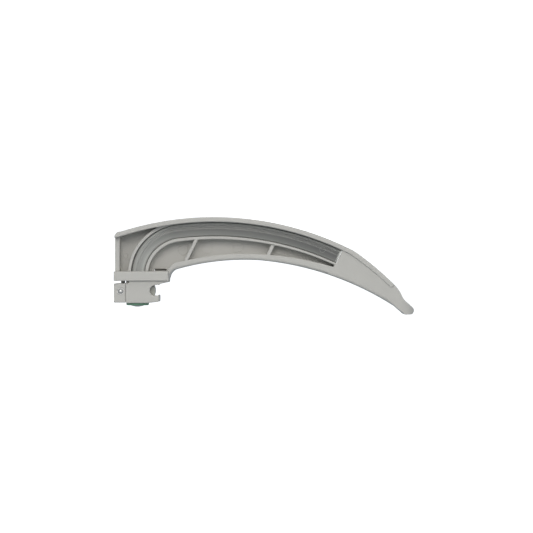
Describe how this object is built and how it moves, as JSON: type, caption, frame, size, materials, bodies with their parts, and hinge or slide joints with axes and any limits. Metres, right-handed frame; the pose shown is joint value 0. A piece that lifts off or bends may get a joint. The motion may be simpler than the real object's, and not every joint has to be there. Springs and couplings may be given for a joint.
{
  "type": "laryngoscope blade",
  "caption": "Curved single-use laryngoscope blade: ribbed plastic body with flange and tongue plate, clear light guide, hook-on heel with spring ball catches and a green ring.",
  "frame": {"origin": "centre of the hinge-pin seat in the heel's hook, on the hook block's mid-plane", "axes": "+X from the heel to the tip, +Z away from the handle (towards the flange), +Y to the user's right"},
  "size_m": [0.13, 0.0185, 0.0421],
  "materials": {
    "blade_plastic": "fine satin moulded grey-beige plastic",
    "fitting_plastic": "fine satin moulded grey-beige plastic",
    "clear_acrylic": "clear polished acrylic",
    "green_plastic": "satin dark green plastic",
    "sleeve_steel": "satin pressed steel",
    "ball_steel": "polished steel",
    "spring_steel": "dull spring steel"
  },
  "bodies": {
    "blade": {"blade_body": "blade_plastic", "heel_fitting": "fitting_plastic", "ball_housing": "fitting_plastic", "light_guide": "clear_acrylic", "colour_ring": "green_plastic", "left_ball_sleeve": "sleeve_steel", "right_ball_sleeve": "sleeve_steel", "detent_spring": "spring_steel"},
    "left_ball": {"left_ball": "ball_steel"},
    "right_ball": {"right_ball": "ball_steel"},
    "leaf_spring": {"pin_leaf_spring": "spring_steel"}
  },
  "joints": [
    {"name": "left_ball_press", "type": "slide", "parent": "blade", "child": "left_ball", "axis": [0, 1, 0], "range_m": [0, 0.00055], "stiffness_N_per_m": 2000, "springref_m": -0.0002, "deforming": ["detent_spring"]},
    {"name": "right_ball_press", "type": "slide", "parent": "blade", "child": "right_ball", "axis": [0, -1, 0], "range_m": [0, 0.00055], "stiffness_N_per_m": 2000, "springref_m": -0.0002, "deforming": ["detent_spring"]},
    {"name": "leaf_flex", "type": "slide", "parent": "blade", "child": "leaf_spring", "axis": [-1, 0, 0], "range_m": [0, 0.0017], "stiffness_N_per_m": 4000}
  ]
}
